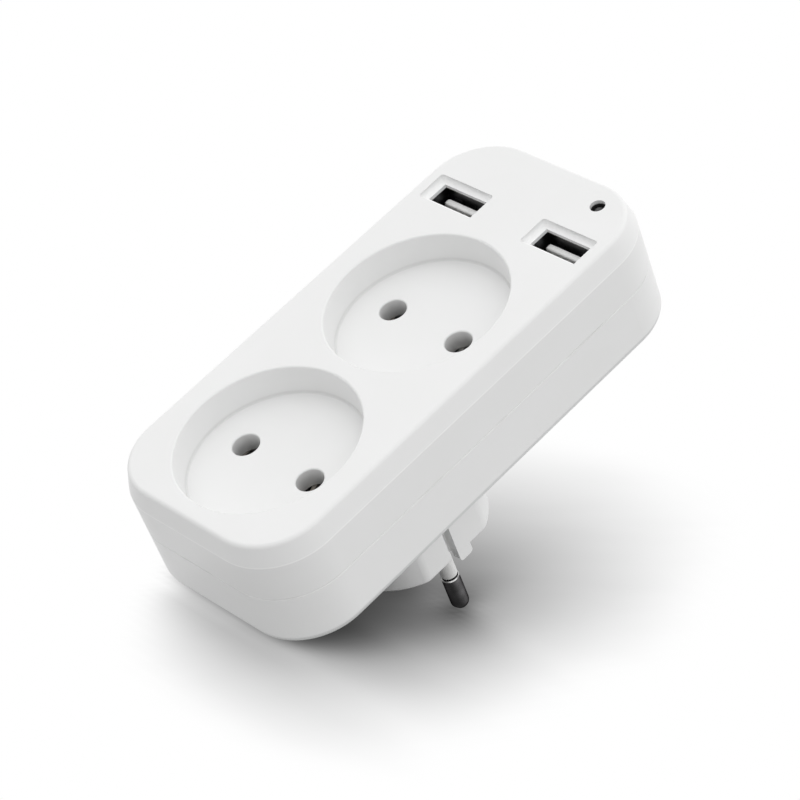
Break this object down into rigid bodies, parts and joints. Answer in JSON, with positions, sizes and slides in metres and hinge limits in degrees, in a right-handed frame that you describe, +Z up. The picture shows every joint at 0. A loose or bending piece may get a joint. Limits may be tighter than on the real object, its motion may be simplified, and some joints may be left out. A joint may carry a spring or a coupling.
{
  "type": "plug adapter",
  "caption": "White double wall adapter: round socket wells and USB ports in a rounded body, with a round plug boss and sleeved pins on its back.",
  "frame": {"origin": "middle of the plug boss's end face, between the pins", "axes": "+X along the pin line to the viewer's right from the front, +Y along the pins into the wall socket, +Z up the body towards the USB ports"},
  "size_m": [0.0528, 0.0646, 0.1123],
  "materials": {
    "cover_white": "satin gloss moulding",
    "sleeve_white": "smooth moulding",
    "tongue_white": "matt moulding",
    "pin_nickel": "dark nickel plate",
    "lamp_lens": "smoked clear resin",
    "contact_brass": "stamped sheet",
    "port_steel": "folded sheet, black nickel plate",
    "port_contact": "tin plated springs",
    "board_green": "solder mask",
    "core_ferrite": "fired ferrite",
    "winding_tape": "polyester tape",
    "capacitor_sleeve": "shrink sleeve",
    "capacitor_blue": "dipped coating",
    "component_black": "moulded body",
    "resistor_body": "cement coating",
    "lead_insulation": "wire insulation",
    "screw_steel": "zinc plate"
  },
  "bodies": {
    "root": {"bridge_rectifier": "component_black", "circuit_board": "board_green", "contact_strip_left": "contact_brass", "contact_strip_right": "contact_brass", "controller_chip": "component_black", "cover_screws": "screw_steel", "front_cover": "cover_white", "fuse_resistor": "resistor_body", "indicator_lamp": "lamp_lens", "input_capacitor": "capacitor_sleeve", "mains_lead_left": "lead_insulation", "mains_lead_right": "lead_insulation", "noise_capacitor": "capacitor_blue", "output_capacitor": "capacitor_sleeve", "output_diode": "component_black", "pin_sleeve_left": "sleeve_white", "pin_sleeve_right": "sleeve_white", "plug_pin_left": "pin_nickel", "plug_pin_right": "pin_nickel", "rear_cover": "cover_white", "transformer_core": "core_ferrite", "transformer_winding": "winding_tape", "usb_contacts_left": "port_contact", "usb_contacts_right": "port_contact", "usb_shell_left": "port_steel", "usb_shell_right": "port_steel", "usb_tongue_left": "tongue_white", "usb_tongue_right": "tongue_white"}
  },
  "joints": []
}
